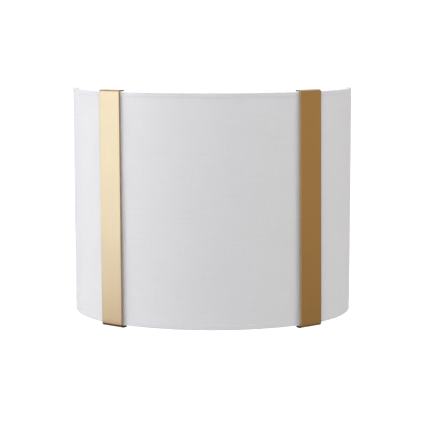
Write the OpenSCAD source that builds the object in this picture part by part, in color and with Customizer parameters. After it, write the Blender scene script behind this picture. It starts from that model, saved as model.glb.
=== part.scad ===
// Wall lamp: a half-oval linen shade with two brass straps, hung on a back plate with two bulbs.
// The wall is the plane y = 0 and the lamp stands out from it along -Y. Z is up.
// The origin is on the wall, behind the middle of the shade and of the back plate.

/* [Shade] */
// Width of the shade across its two rear edges
shade_w = 300; // [286:1:320]
// Height of the shade, with the tapes on its rims
shade_h = 241; // [232:1:270]
// Depth of the shade from its rear edges to its front
shade_d = 122; // [117:1:135]
// How much deeper the shade is than the radius of its two rounded sides
front_bow = 10; // [7:0.5:16]
// Gap between the wall and the shade's rear edges
wall_gap = 3; // [2:0.5:6]
// Thickness of the linen
linen_t = 0.6; // [0.4:0.1:1]
// Thickness of the stiff liner that the linen is bonded to
liner_t = 1; // [0.8:0.1:1.6]
// Thickness of the tape folded over the rims and the rear edges
tape_t = 0.3; // [0.2:0.1:0.5]
// Height of the rim tape on the outside
hem_h = 5; // [4:0.5:8]
// Height of the rim tape on the inside, where it covers the wire ring
hem_inside_h = 9; // [6:0.5:14]
// Width of the tape along each rear edge
edge_tape_w = 9; // [6:0.5:14]

/* [Wire frame] */
// Thickness of the wire of the rings and posts
wire_d = 3; // [2.5:0.1:4]
// Thickness of the hanger bar and the steady bar
bar_t = 1.5; // [1:0.1:1.8]
// Height of the steady bar
steady_bar_h = 10; // [8:0.5:12]
// Metal left round the keyholes in the hanger bar
keyhole_margin = 4; // [3:0.5:6]
// How far the shade lifts before the screw heads meet the wide ends of the keyholes
lift = 10; // [9:0.5:11]

/* [Straps] */
// Distance between the middles of the two straps
strap_spacing = 203; // [190:0.5:220]
// Width of each strap
strap_w = 26; // [18:0.5:32]
// Thickness of the strap's brass
strap_t = 1.5; // [1:0.1:2.5]
// Length of each hook, from the strap's outer face to its tip
hook_l = 9; // [7:0.5:14]
// Inside radius of the strap's upper bend
strap_bend_r = 1.2; // [0.6:0.1:1.6]
// Inside radius of the strap's lower bend
lower_bend_r = 2.2; // [1:0.1:3]
// Gap between the bottom hook and the bottom rim
lower_hook_gap = 1.1; // [0.6:0.1:2]
// How much further the straps stand off the shade at the bottom than at the top
strap_stand = 1.2; // [0:0.1:2]
// How far the left strap's lower end leans towards the wall, in degrees
left_lean = -0.4; // [-1:0.1:1]
// How far the right strap's lower end leans towards the wall, in degrees
right_lean = 0.4; // [-1:0.1:1]

/* [Back plate] */
// Width of the back plate
plate_w = 120; // [116:1:140]
// Height of the back plate
plate_h = 200; // [196:1:210]
// Depth of the back plate
plate_d = 20; // [19:0.5:24]
// Thickness of the back plate's sheet
plate_t = 1.2; // [0.8:0.1:1.6]
// Radius of the back plate's corners
plate_corner_r = 10; // [4:1:14]
// Distance between the two hanger screws
hanger_spacing = 90; // [76:1:92]
// Distance from the plate's top edge down to the hanger screws
hanger_drop = 25; // [20:1:28]
// Distance from the plate's bottom edge up to the middle of the steady bar
steady_rise = 6; // [6:0.5:7]

/* [Crossbar] */
// Width of the crossbar
crossbar_w = 20; // [16:1:24]
// Height of the crossbar
crossbar_h = 112; // [108:1:120]
// Thickness of the crossbar
crossbar_t = 2; // [1.5:0.1:2.5]
// Distance between the crossbar's two slots, which take the wall box's screws
slot_spacing = 88.9; // [88:0.1:92]
// Length of each slot from end to end
slot_l = 12; // [9:0.5:13]
// Width of each slot
slot_w = 4.6; // [4.4:0.1:5]
// Distance between the two studs that hold the back plate
stud_spacing = 60; // [50:1:66]
// Diameter of the studs
stud_d = 4.2; // [4:0.1:5]

/* [Arms and lampholders] */
// Distance between the two bulbs
bulb_spacing = 90; // [84:1:92]
// Distance from the wall to the bulbs' axes
arm_reach = 66; // [62:1:72]
// Distance from the plate's bottom edge up to the arms
arm_rise = 32; // [31:1:36]
// Outside diameter of the arm tube
arm_d = 10; // [9:0.5:11]
// Wall of the arm tube
arm_wall = 1; // [0.8:0.1:1.2]
// Radius of the arm's bend, at the middle of the tube
arm_bend_r = 18; // [15:1:22]
// Outside diameter of the lampholders
holder_d = 35; // [33:0.5:40]
// Height of the lampholder's lower cap
cap_h = 12; // [11:0.5:14]
// Height of the lampholder's body
holder_h = 32; // [29:0.5:36]
// Thickness of the leads over their insulation
lead_d = 2.2; // [1.8:0.1:2.4]

/* [Bulbs] */
// Length of the bulb from its tip to the top of its glass
bulb_l = 106; // [98:1:115]
// Diameter of the glass
bulb_d = 60; // [50:1:66]
// Diameter over the thread of the bulb's cap
screw_d = 26.2; // [26:0.1:26.4]
// Pitch of the thread
screw_pitch = 3.63; // [3.4:0.01:3.8]
// Thickness of the glass
glass_t = 0.8; // [0.5:0.1:1.2]

/* [Cap nuts] */
// Diameter of the cap nut's ball
ball_d = 12; // [10:0.5:15]
// Diameter of the cap nut's foot
nut_foot_d = 10; // [8:0.5:12]
// Height of the cap nut's foot
nut_foot_h = 4; // [3:0.5:6]

/* [Hidden] */

$fn = 96;
// Gap left at welds, seats and threads
seat = 0.05;
// How far a cutting shape runs past what it cuts, and how many degrees an arc that is cut off overruns
past = 1;
overrun = 2;

// The half-oval is three arcs: two sides of radius side_r, and a wider front arc that meets them tangent.
// Its own frame has y = 0 at the shade's rear edges.
half_w = shade_w / 2;
side_r = shade_d - front_bow;
side_x = half_w - side_r;
front_y = (side_x * side_x - pow(shade_d - side_r, 2)) / (2 * (shade_d - side_r));
front_r = shade_d + front_y;
front_turn = atan2(side_x, front_y);
wall_t = linen_t + liner_t;
wall_h = shade_h - 2 * tape_t;
// Depth of the wire's centre line behind the linen's face
wire_inset = wall_t + seat + wire_d / 2;
ring_z = wall_h / 2 - seat - wire_d / 2;
// Inner face of the rim tape, behind the linen's face
tape_inset = wall_t + wire_d + 2 * seat;

// Gap between a strap and the tape, in whole hundredths, so that the tape's square corner clears the bend
strap_gap = ceil(100 * (seat + strap_bend_r * (1 - sqrt(0.5)))) / 100;

// Planes of the two bars, in front of the back plate, and the gap at their ends
bar_stand = 0.25;
bar_end_gap = 0.3;
bar_back = plate_d + bar_stand;
bar_front = bar_back + bar_t;
post_y = bar_front + seat + wire_d / 2;
post_x = side_x + sqrt(pow(side_r - wire_inset, 2) - pow(post_y - wall_gap, 2));
bar_half = side_x + sqrt(pow(side_r - wall_t, 2) - pow(bar_front - wall_gap, 2)) - bar_end_gap;

// Hanger screws: shank through the plate, shoulder in the keyhole, head in front of the bar
hanger_z = plate_h / 2 - hanger_drop;
shank_d = 4;
shoulder_d = 6;
head_gap = 0.4;
shoulder_l = bar_front - plate_d + head_gap;
head_d = 10;
head_t = 2;
keyhole_slot_play = 0.4;
keyhole_wide_play = 1;
keyhole_slot_d = shoulder_d + keyhole_slot_play;
keyhole_wide_d = head_d + keyhole_wide_play;
keyhole_slot_z = hanger_z + shoulder_d / 2 + seat - keyhole_slot_d / 2;
keyhole_wide_z = hanger_z - lift;
steady_z = steady_rise - plate_h / 2;

// Studs, cap nuts and hexagon nuts; each thread stands a little out of its nut
stud_proud = 13;
stud_end = plate_d + stud_proud;
ball_sink = 1.5;
screw_proud = 1;
nut_t = 3;
stud_nut_d = 9;
hanger_nut_d = 8;
arm_nut_d = 17;
collar_d = 15;
collar_l = 4;
ground_head_d = 8;
ground_head_t = 2.5;

// Arms: along the plate's normal, round one bend, and up into the lampholder
arm_z = arm_rise - plate_h / 2;
arm_tail_proud = 0.4;
arm_tail = plate_d - plate_t - nut_t - arm_tail_proud;
arm_straight_l = 1;
holder_z = arm_z + arm_bend_r + arm_straight_l;
arm_in_cap = 6;
cap_wall = 2.5;
cap_floor_t = 3.5;
floor_t = 2.5;
body_z = holder_z + cap_h;
floor_z = body_z + floor_t;
body_top = body_z + holder_h;
lip_h = 4;
lip_proud = 1.5;
thread_play = 0.15;
shell_r = screw_d / 2 + thread_play;
shell_t = 0.7;
shell_drop = 2;
rib_r = 0.5;
rib_inset = 0.1;
rivet_d = 2.4;
rivet_proud = 1.2;
rivet_l = floor_t + rivet_proud;
shell_rivet_x = 7.5;
contact_t = 1;
contact_r = 3.5;
contact_margin = 1.5;
contact_gap = 0.3;

// Bulb heights, all from the tip
tip_z = floor_z + contact_t + contact_gap;
tip_h = 1.5;
tip_r = 2.5;
tip_top_r = 4;
insulator_h = 5;
insulator_foot_r = 5;
insulator_step = 1;
thread_l = 21;
cap_top_z = tip_z + insulator_h + thread_l;
thread_depth = 0.7;
screw_root_r = screw_d / 2 - thread_depth;
bead_r = 0.9;
thread_turns = 5;
glass_z = tip_z + bulb_l - bulb_d / 2;
neck_step = 0.4;
neck_r = screw_root_r - neck_step;
neck_bend_r = 38;
stem_foot_d = 16;
stem_foot_h = 12;
stem_d = 6;
filament_drop = 14;
filament_disc_d = 15;
filament_disc_t = 1;
filament_x = 6;
filament_d = 1.6;
filament_l = 30;

// Leads: the two in each arm lie side by side, then turn towards the connectors behind the plate
lead_gap = 0.25;
lead_offset = lead_d / 2 + lead_gap;
live_y = 7;
neutral_y = 11;
lead_bend_r = 3.5;
lead_turn_r = 1.5;
lead_turn_drop = 2.4;
connector_x = 14;
connector_drop = 7;
connector_mouth_z = arm_z - connector_drop;
connector_l = 17;
connector_r = 5.2;
connector_tip_r = 3.12;
connector_bore_spare = 1;
connector_bore_r = lead_offset + lead_d / 2 + 2 * seat;
lead_in_connector = 8;
lead_start_z = body_z + floor_t - rivet_l - seat;
ground_x = 30;
ground_turn_gap = 5;
ground_turn_x = crossbar_w / 2 + ground_turn_gap;
ground_turn_z = -16;
ground_y = 7;
ground_connector_z = -26;

linen_color = [0.91, 0.91, 0.92];
brass_color = [0.80, 0.66, 0.42];
steel_color = [0.70, 0.70, 0.72];

function unit(v) = v / norm(v);

// Turn from the front at which the half-oval is x from its middle
function turn_at(x) = x > front_r * sin(front_turn) ? asin((x - side_x) / side_r) : asin(x / front_r);

// Place on the linen's face at a turn from the front
function on_shade(t) = abs(t) > front_turn
    ? [sign(t) * side_x + side_r * sin(t), -wall_gap - side_r * cos(t)]
    : [front_r * sin(t), -wall_gap + front_y - front_r * cos(t)];

// Points of an arc about c, in a plane
function arc(c, r, from, to, steps) =
    [for (i = [0:steps]) let (a = from + (to - from) * i / steps) c + r * [cos(a), sin(a)]];

// Carries a flat outline round the right half of the half-oval: x is outwards from the linen's face and
// y is height. Both arcs start at the line where they meet, run past their ends, and are cut off square:
// the front one at x = 0, and the side one at the depth rear.
module right_half(rear) {
    meet = on_shade(front_turn);
    intersection() {
        translate([meet[0], meet[1], 0]) rotate([0, 0, 270 + front_turn]) {
            mirror([0, 1, 0]) translate([-front_r, 0, 0])
                rotate_extrude(angle = front_turn + overrun) translate([front_r, 0]) children();
            translate([-side_r, 0, 0])
                rotate_extrude(angle = 90 - front_turn + overrun) translate([side_r, 0]) children();
        }
        translate([0, -2 * shade_d, -shade_h]) cube([shade_w, 2 * shade_d - rear, 2 * shade_h]);
    }
}

module round_the_shade() {
    for (side = [0, 1]) mirror([side, 0, 0]) right_half(wall_gap) children();
}

// Upright wall of the shade between two depths behind the linen's face
module shade_wall(from, to) {
    round_the_shade()
        translate([-to, -wall_h / 2]) square([to - from, wall_h]);
}

// Round bar along -Y, from the depth y0 to the depth y1
module rod_y(d, y0, y1) {
    translate([0, -y0, 0]) rotate([90, 0, 0]) cylinder(d = d, h = y1 - y0);
}

// Hexagon nut along -Y with a round hole
module nut_y(d, hole_d, y0, y1) {
    difference() {
        translate([0, -y0, 0]) rotate([90, 0, 0]) cylinder(d = d, h = y1 - y0, $fn = 6);
        rod_y(hole_d, y0 - past, y1 + past);
    }
}

// Block with four round upright corners, its faces at the depths y0 and y1
module rounded_block(w, h, r, y0, y1) {
    translate([-w / 2 + r, -y1, -h / 2]) cube([w - 2 * r, y1 - y0, h]);
    translate([-w / 2, -y1, -h / 2 + r]) cube([w, y1 - y0, h - 2 * r]);
    for (x = [-1, 1], z = [-1, 1])
        translate([x * (w / 2 - r), 0, z * (h / 2 - r)]) rod_y(2 * r, y0, y1);
}

// Upright slot cut through a bar, with round ends
module upright_slot(w, l, y0, y1) {
    translate([-w / 2, -y1, -(l - w) / 2]) cube([w, y1 - y0, l - w]);
    for (z = [-1, 1]) translate([0, 0, z * (l - w) / 2]) rod_y(w, y0, y1);
}

module on_both_sides(x) {
    for (side = [-1, 1]) translate([side * x, 0, 0]) children();
}

// The shade

module shade_linen() {
    color(linen_color) shade_wall(0, linen_t);
}

module shade_liner() {
    color("white") shade_wall(linen_t, wall_t);
}

// Tape folded over a rim: up the outside, over the edge and the ring, and down the inside
module rim_tape() {
    edge = wall_h / 2;
    round_the_shade() difference() {
        translate([-tape_inset - tape_t, edge - hem_inside_h])
            square([tape_inset + 2 * tape_t, hem_inside_h + tape_t]);
        translate([-tape_inset, edge - hem_inside_h - past])
            square([tape_inset, hem_inside_h + past]);
        translate([-past / 2, edge - hem_inside_h - past])
            square([past / 2 + tape_t + past, hem_inside_h + tape_t - hem_h + past]);
    }
}

module top_tape() {
    color(linen_color) rim_tape();
}

module bottom_tape() {
    color(linen_color) mirror([0, 0, 1]) rim_tape();
}

// Tape folded over the right rear edge, between the two rim tapes
module edge_tape() {
    h = wall_h - 2 * hem_inside_h - 2 * seat;
    difference() {
        right_half(wall_gap - tape_t)
            translate([-wall_t - tape_t, -h / 2]) square([wall_t + 2 * tape_t, h]);
        right_half(wall_gap) translate([-wall_t, -h]) square([wall_t, 2 * h]);
        translate([-past, -2 * shade_d, -h])
            cube([shade_w, 2 * shade_d - wall_gap - edge_tape_w, 2 * h]);
    }
}

module right_edge_tape() {
    color(linen_color) edge_tape();
}

module left_edge_tape() {
    color(linen_color) mirror([1, 0, 0]) edge_tape();
}

module top_ring() {
    color(steel_color) round_the_shade() translate([-wire_inset, ring_z]) circle(d = wire_d);
}

module bottom_ring() {
    color(steel_color) round_the_shade() translate([-wire_inset, -ring_z]) circle(d = wire_d);
}

// Upright wire between the two rings, welded to both
module post() {
    h = 2 * (ring_z - wire_d / 2 - seat);
    translate([post_x, -post_y, -h / 2]) cylinder(d = wire_d, h = h);
}

module left_post() {
    color(steel_color) mirror([1, 0, 0]) post();
}

module right_post() {
    color(steel_color) post();
}

// Flat bar across the back of the shade, welded behind the posts, with a keyhole for each hanger screw
module hanger_bar() {
    low = keyhole_wide_z - keyhole_wide_d / 2 - keyhole_margin;
    high = keyhole_slot_z + keyhole_slot_d / 2 + keyhole_margin;
    color(steel_color) difference() {
        translate([-bar_half, -bar_front, low]) cube([2 * bar_half, bar_t, high - low]);
        on_both_sides(hanger_spacing / 2) {
            translate([0, 0, keyhole_wide_z]) rod_y(keyhole_wide_d, bar_back - past, bar_front + past);
            translate([0, 0, keyhole_slot_z]) rod_y(keyhole_slot_d, bar_back - past, bar_front + past);
            translate([-keyhole_slot_d / 2, -bar_front - past, keyhole_wide_z])
                cube([keyhole_slot_d, bar_t + 2 * past, keyhole_slot_z - keyhole_wide_z]);
        }
    }
}

module steady_bar() {
    color(steel_color)
        translate([-bar_half, -bar_front, steady_z - steady_bar_h / 2])
            cube([2 * bar_half, bar_t, steady_bar_h]);
}

// The straps

// Hook at the top of a strap, from the middle of its bend: a quarter ring of outside radius r and a flat of length l
module hook(r, l) {
    intersection() {
        difference() {
            rotate([0, 90, 0]) cylinder(r = r, h = strap_w);
            translate([-past, 0, 0]) rotate([0, 90, 0]) cylinder(r = r - strap_t, h = strap_w + 2 * past);
        }
        translate([-past, -r - past, 0]) cube([strap_w + 2 * past, r + past, r + past]);
    }
    translate([0, 0, r - strap_t]) cube([strap_w, l, strap_t]);
}

// Side view of a strap, carried across its width: a flat strip and a hook bent over each rim
module strap() {
    upper_r = strap_bend_r + strap_t;
    lower_r = lower_bend_r + strap_t;
    top = shade_h / 2 + strap_gap + strap_t;
    bottom = -shade_h / 2 - lower_hook_gap - strap_t;
    face = -tape_t - strap_gap - strap_t;
    tip = face + hook_l;
    translate([-strap_w / 2, 0, 0]) {
        translate([0, face, bottom + lower_r])
            cube([strap_w, strap_t, top - bottom - upper_r - lower_r]);
        translate([0, face + upper_r, top - upper_r])
            hook(upper_r, tip - face - upper_r);
        translate([0, face + lower_r, bottom + lower_r]) mirror([0, 0, 1])
            hook(lower_r, tip - face - lower_r);
    }
}

// A strap set square to the linen's face, turned in that plane by its lean, and tilted about the top rim
module placed_strap(side, lean) {
    turn = side * turn_at(strap_spacing / 2);
    color(brass_color)
        translate([on_shade(turn)[0], on_shade(turn)[1], 0])
            rotate([0, 0, turn])
                rotate([0, -side * lean, 0])
                    translate([0, 0, shade_h / 2]) rotate([-asin(strap_stand / shade_h), 0, 0])
                        translate([0, 0, -shade_h / 2]) strap();
}

module left_strap() {
    placed_strap(-1, left_lean);
}

module right_strap() {
    placed_strap(1, right_lean);
}

// The back plate and what it carries

module back_plate() {
    color(brass_color) difference() {
        rounded_block(plate_w, plate_h, plate_corner_r, 0, plate_d);
        rounded_block(plate_w - 2 * plate_t, plate_h - 2 * plate_t, plate_corner_r - plate_t,
            -past, plate_d - plate_t);
        for (z = [-1, 1])
            translate([0, 0, z * stud_spacing / 2]) rod_y(stud_d + 4 * seat, 0, plate_d + past);
        on_both_sides(hanger_spacing / 2)
            translate([0, 0, hanger_z]) rod_y(shank_d + 2 * seat, 0, plate_d + past);
        on_both_sides(bulb_spacing / 2)
            translate([0, 0, arm_z]) rod_y(arm_d + 2 * seat, 0, plate_d + past);
    }
}

// Flat bar that is screwed to the wall box through its two slots
module crossbar() {
    color(steel_color) difference() {
        translate([-crossbar_w / 2, -crossbar_t, -crossbar_h / 2])
            cube([crossbar_w, crossbar_t, crossbar_h]);
        for (z = [-1, 1]) {
            translate([0, 0, z * slot_spacing / 2])
                upright_slot(slot_w, slot_l, -past, crossbar_t + past);
            translate([0, 0, z * stud_spacing / 2])
                rod_y(stud_d + 2 * seat, -past, crossbar_t + past);
        }
        rod_y(shank_d + 2 * seat, -past, crossbar_t + past);
    }
}

module plate_studs() {
    color(steel_color) for (z = [-1, 1])
        translate([0, 0, z * stud_spacing / 2]) rod_y(stud_d, 0, stud_end);
}

module stud_locknuts() {
    color(steel_color) for (z = [-1, 1])
        translate([0, 0, z * stud_spacing / 2])
            nut_y(stud_nut_d, stud_d + 2 * seat, crossbar_t + seat, crossbar_t + seat + nut_t);
}

module ground_screw() {
    color("green") {
        rod_y(shank_d, 0, crossbar_t + lead_d + 2 * seat);
        translate([0, -crossbar_t - lead_d - 2 * seat, 0])
            rotate([90, 0, 0]) cylinder(d = ground_head_d, h = ground_head_t, $fn = 6);
    }
}

module hanger_screws() {
    color(steel_color) on_both_sides(hanger_spacing / 2) translate([0, 0, hanger_z]) {
        rod_y(shank_d, plate_d - plate_t - nut_t - screw_proud, plate_d);
        rod_y(shoulder_d, plate_d, plate_d + shoulder_l);
        rod_y(head_d, plate_d + shoulder_l, plate_d + shoulder_l + head_t);
    }
}

module hanger_nuts() {
    color(steel_color) on_both_sides(hanger_spacing / 2) translate([0, 0, hanger_z])
        nut_y(hanger_nut_d, shank_d + 2 * seat, plate_d - plate_t - nut_t, plate_d - plate_t - seat);
}

// Solid core of an arm of diameter d; a second, thinner and longer one cuts its bore
module arm_core(d, spare) {
    straight = arm_reach - arm_bend_r;
    translate([0, 0, arm_z]) rod_y(d, arm_tail - spare, straight);
    translate([0, -straight, arm_z + arm_bend_r])
        rotate([0, 90, 0]) rotate([0, 0, -90])
            rotate_extrude(angle = 90) translate([arm_bend_r, 0]) circle(d = d);
    translate([0, -arm_reach, arm_z + arm_bend_r])
        cylinder(d = d, h = holder_z + arm_in_cap - arm_z - arm_bend_r + spare);
}

module arm() {
    color(brass_color) difference() {
        arm_core(arm_d, 0);
        arm_core(arm_d - 2 * arm_wall, past);
    }
}

module left_arm() {
    translate([-bulb_spacing / 2, 0, 0]) arm();
}

module right_arm() {
    translate([bulb_spacing / 2, 0, 0]) arm();
}

module arm_collars() {
    color(brass_color) on_both_sides(bulb_spacing / 2) translate([0, 0, arm_z]) difference() {
        rod_y(collar_d, plate_d, plate_d + collar_l);
        rod_y(arm_d + 2 * seat, plate_d - past, plate_d + collar_l + past);
    }
}

module arm_nuts() {
    color(steel_color) on_both_sides(bulb_spacing / 2) translate([0, 0, arm_z])
        nut_y(arm_nut_d, arm_d + 2 * seat, plate_d - plate_t - nut_t, plate_d - plate_t - seat);
}

// The lampholders, made on the axis of a bulb

module at_bulb(side) {
    translate([side * bulb_spacing / 2, -arm_reach, 0]) children();
}

// Lower cap: a cup screwed on the arm, with room for the leads' ends
module holder_cap() {
    color("black") translate([0, 0, holder_z]) difference() {
        cylinder(d = holder_d, h = cap_h - seat);
        translate([0, 0, cap_floor_t]) cylinder(d = holder_d - 2 * cap_wall, h = cap_h);
        translate([0, 0, -past]) cylinder(d = arm_d + 2 * seat, h = cap_h);
    }
}

module left_holder_cap() {
    at_bulb(-1) holder_cap();
}

module right_holder_cap() {
    at_bulb(1) holder_cap();
}

// Body: a cup that holds the screw shell, with a lip round its mouth and a hole for each rivet
module holder_body(side) {
    color("black") difference() {
        union() {
            translate([0, 0, body_z]) cylinder(d = holder_d, h = holder_h);
            translate([0, 0, body_top - lip_h]) cylinder(d = holder_d + 2 * lip_proud, h = lip_h);
        }
        translate([0, 0, floor_z]) cylinder(r = shell_r + shell_t + seat, h = holder_h);
        for (x = [0, -side * shell_rivet_x])
            translate([x, 0, body_z - past]) cylinder(d = rivet_d + 2 * seat, h = floor_t + 2 * past);
    }
}

module left_holder_body() {
    at_bulb(-1) holder_body(-1);
}

module right_holder_body() {
    at_bulb(1) holder_body(1);
}

// Screw shell: a thin tube with a ring rib in each valley of the bulb's thread, and a rivet through the floor
module holder_shell(side) {
    foot = floor_z + seat;
    top = body_top - shell_drop;
    color(brass_color) {
        difference() {
            translate([0, 0, foot]) cylinder(r = shell_r + shell_t, h = top - foot);
            translate([0, 0, foot + shell_t]) cylinder(r = shell_r, h = top - foot);
            translate([0, 0, foot - past]) cylinder(r = contact_r + contact_margin, h = shell_t + 2 * past);
        }
        for (i = [0:thread_turns - 2])
            translate([0, 0, tip_z + insulator_h + screw_pitch * (i + 1)])
                rotate_extrude() translate([shell_r + rib_inset, 0]) circle(r = rib_r, $fn = 24);
        translate([-side * shell_rivet_x, 0, foot - rivet_l]) cylinder(d = rivet_d, h = rivet_l);
    }
}

module left_holder_shell() {
    at_bulb(-1) holder_shell(-1);
}

module right_holder_shell() {
    at_bulb(1) holder_shell(1);
}

module holder_contact() {
    color(brass_color) {
        translate([0, 0, floor_z + seat]) cylinder(r = contact_r, h = contact_t);
        translate([0, 0, floor_z + seat - rivet_l]) cylinder(d = rivet_d, h = rivet_l);
    }
}

module left_holder_contact() {
    at_bulb(-1) holder_contact();
}

module right_holder_contact() {
    at_bulb(1) holder_contact();
}

// The leads

// A route's corners, each [point, bend radius], with every corner but the first and last rounded off
function rounded_route(corners) = [
    for (i = [0:len(corners) - 1])
        let (p = corners[i][0], r = corners[i][1])
        if (r == 0) p else
            let (
                a = unit(corners[i - 1][0] - p),
                b = unit(corners[i + 1][0] - p),
                half = acos(a * b) / 2,
                middle = p + unit(a + b) * r / sin(half),
                from = unit(p + a * r / tan(half) - middle),
                to = unit(p + b * r / tan(half) - middle),
                sweep = 180 - 2 * half,
                steps = 6
            )
            each [for (k = [0:steps]) middle + r
                * (sin(sweep * (1 - k / steps)) * from + sin(sweep * k / steps) * to) / sin(sweep)]
];

// Tube of diameter d along a list of points; each ring's first spoke is the last one's, turned square to the route
module lead(route, d) {
    sides = 8;
    n = len(route);
    along = [for (i = [0:n - 1]) unit(route[min(i + 1, n - 1)] - route[max(i - 1, 0)])];
    start = unit(cross(along[0], abs(along[0][2]) < 0.9 ? [0, 0, 1] : [1, 0, 0]));
    spokes = [for (i = 0, s = start; i < n; i = i + 1,
        s = i < n ? unit(s - (s * along[i]) * along[i]) : s) s];
    points = [for (i = [0:n - 1], k = [0:sides - 1])
        route[i] + d / 2 * (cos(360 * k / sides) * spokes[i] + sin(360 * k / sides) * cross(along[i], spokes[i]))];
    walls = [for (i = [0:n - 2], k = [0:sides - 1])
        let (a = i * sides + k, b = i * sides + (k + 1) % sides)
        each [[a, b + sides, b], [a, a + sides, b + sides]]];
    first_end = [[for (k = [0:sides - 1]) k]];
    last_end = [[for (k = [sides - 1:-1:0]) (n - 1) * sides + k]];
    polyhedron(points, concat(walls, first_end, last_end));
}

// Route of a lead from a lampholder, down its arm and over to a connector
function lead_route(side, start_x, in_arm_x, depth, end_x) = rounded_route(concat(
    start_x == in_arm_x ? [[[side * start_x, -arm_reach, lead_start_z], 0]] : [
        [[side * start_x, -arm_reach, lead_start_z], 0],
        [[side * start_x, -arm_reach, lead_start_z - lead_turn_drop], lead_turn_r],
        [[side * in_arm_x, -arm_reach, lead_start_z - lead_turn_drop], lead_turn_r]
    ], [
        [[side * in_arm_x, -arm_reach, arm_z], arm_bend_r],
        [[side * in_arm_x, -depth, arm_z], lead_bend_r],
        [[end_x, -depth, arm_z], lead_bend_r],
        [[end_x, -depth, connector_mouth_z - lead_in_connector], 0]
    ]));

module live_leads() {
    x = bulb_spacing / 2;
    color("black") for (side = [-1, 1])
        lead(lead_route(side, x, x + lead_offset, live_y, connector_x + side * lead_offset), lead_d);
}

module neutral_leads() {
    x = bulb_spacing / 2;
    color("white") for (side = [-1, 1])
        lead(lead_route(side, x - shell_rivet_x, x - lead_offset, neutral_y,
            -connector_x + side * lead_offset), lead_d);
}

module ground_lead() {
    depth = crossbar_t + seat + lead_d / 2;
    color("green")
        lead(rounded_route([
            [[-shank_d / 2 - seat, -depth, 0], 0],
            [[-ground_turn_x, -depth, 0], lead_bend_r],
            [[-ground_turn_x, -ground_y, ground_turn_z], lead_bend_r],
            [[-ground_x, -ground_y, ground_turn_z], lead_bend_r],
            [[-ground_x, -ground_y, ground_connector_z - lead_in_connector], 0]
        ]), lead_d);
}

// Twist-on connector: a tapered cap, its mouth upwards at the height z
module connector(x, depth, z) {
    translate([x, -depth, z - connector_l]) difference() {
        cylinder(r1 = connector_tip_r, r2 = connector_r, h = connector_l);
        translate([0, 0, connector_l - lead_in_connector - connector_bore_spare])
            cylinder(r = connector_bore_r, h = lead_in_connector + connector_bore_spare + past);
    }
}

module wire_connectors() {
    color("orange") {
        connector(connector_x, live_y, connector_mouth_z);
        connector(-connector_x, neutral_y, connector_mouth_z);
        connector(-ground_x, ground_y, ground_connector_z);
    }
}

// The bulbs, made on their own axis

// Half outline of the glass, the wall inwards by w: a neck, a hollow bend, and the ball
function glass_outline(w) =
    let (
        ball_r = bulb_d / 2,
        bend = neck_bend_r,
        bend_x = neck_r + bend,
        bend_z = glass_z - sqrt(pow(ball_r + bend, 2) - bend_x * bend_x),
        meet = atan2(glass_z - bend_z, -bend_x)
    )
    concat(
        [[0, cap_top_z + w], [neck_r - w, cap_top_z + w]],
        arc([bend_x, bend_z], bend + w, 180, meet, 8),
        arc([0, glass_z], ball_r - w, meet - 180, 90, 24)
    );

module bulb_glass() {
    color("ivory") difference() {
        rotate_extrude() polygon(glass_outline(0));
        rotate_extrude() polygon(glass_outline(glass_t));
    }
}

module left_bulb_glass() {
    at_bulb(-1) bulb_glass();
}

module right_bulb_glass() {
    at_bulb(1) bulb_glass();
}

// Screw cap: a plain core with a ring bead for each turn of the thread
module bulb_screw_cap() {
    foot = tip_z + insulator_h;
    color(steel_color) {
        translate([0, 0, foot]) cylinder(r = screw_root_r, h = thread_l - seat);
        for (i = [0:thread_turns - 1])
            translate([0, 0, foot + screw_pitch * (i + 0.5)])
                rotate_extrude() translate([screw_d / 2 - bead_r, 0]) circle(r = bead_r, $fn = 32);
    }
}

module left_bulb_screw_cap() {
    at_bulb(-1) bulb_screw_cap();
}

module right_bulb_screw_cap() {
    at_bulb(1) bulb_screw_cap();
}

module bulb_insulator() {
    color("black") translate([0, 0, tip_z + tip_h])
        cylinder(r1 = insulator_foot_r, r2 = screw_root_r - insulator_step, h = insulator_h - tip_h - seat);
}

module left_bulb_insulator() {
    at_bulb(-1) bulb_insulator();
}

module right_bulb_insulator() {
    at_bulb(1) bulb_insulator();
}

module bulb_tip() {
    color(steel_color) translate([0, 0, tip_z]) cylinder(r1 = tip_r, r2 = tip_top_r, h = tip_h - seat);
}

module left_bulb_tip() {
    at_bulb(-1) bulb_tip();
}

module right_bulb_tip() {
    at_bulb(1) bulb_tip();
}

// Glass stem that stands inside the glass and carries the filament's supports
module bulb_stem() {
    foot = cap_top_z + glass_t + seat;
    color("lightgrey") translate([0, 0, foot]) {
        cylinder(d1 = stem_foot_d, d2 = stem_d, h = stem_foot_h);
        translate([0, 0, stem_foot_h])
            cylinder(d = stem_d, h = glass_z - foot - stem_foot_h - filament_drop);
    }
}

module left_bulb_stem() {
    at_bulb(-1) bulb_stem();
}

module right_bulb_stem() {
    at_bulb(1) bulb_stem();
}

// Four upright light rods round the stem's top, joined by a ring at each end
module bulb_filament() {
    foot = glass_z - filament_drop + seat;
    color("gold") {
        translate([0, 0, foot]) cylinder(d = filament_disc_d, h = filament_disc_t);
        for (turn = [0:90:270])
            rotate([0, 0, turn]) translate([filament_x, 0, foot + filament_disc_t])
                cylinder(d = filament_d, h = filament_l);
        translate([0, 0, foot + filament_disc_t + filament_l])
            cylinder(d = filament_disc_d, h = filament_disc_t);
    }
}

module left_bulb_filament() {
    at_bulb(-1) bulb_filament();
}

module right_bulb_filament() {
    at_bulb(1) bulb_filament();
}

// Cap nut: a foot and a ball, bored for the stud, its foot against the back plate
module cap_nut() {
    front = plate_d + seat;
    ball_depth = front + nut_foot_h + ball_d / 2 - ball_sink;
    color(brass_color) difference() {
        union() {
            rod_y(nut_foot_d, front, front + nut_foot_h);
            translate([0, -ball_depth, 0]) sphere(d = ball_d);
        }
        rod_y(stud_d + 2 * seat, front - past, stud_end + seat);
    }
}

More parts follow.
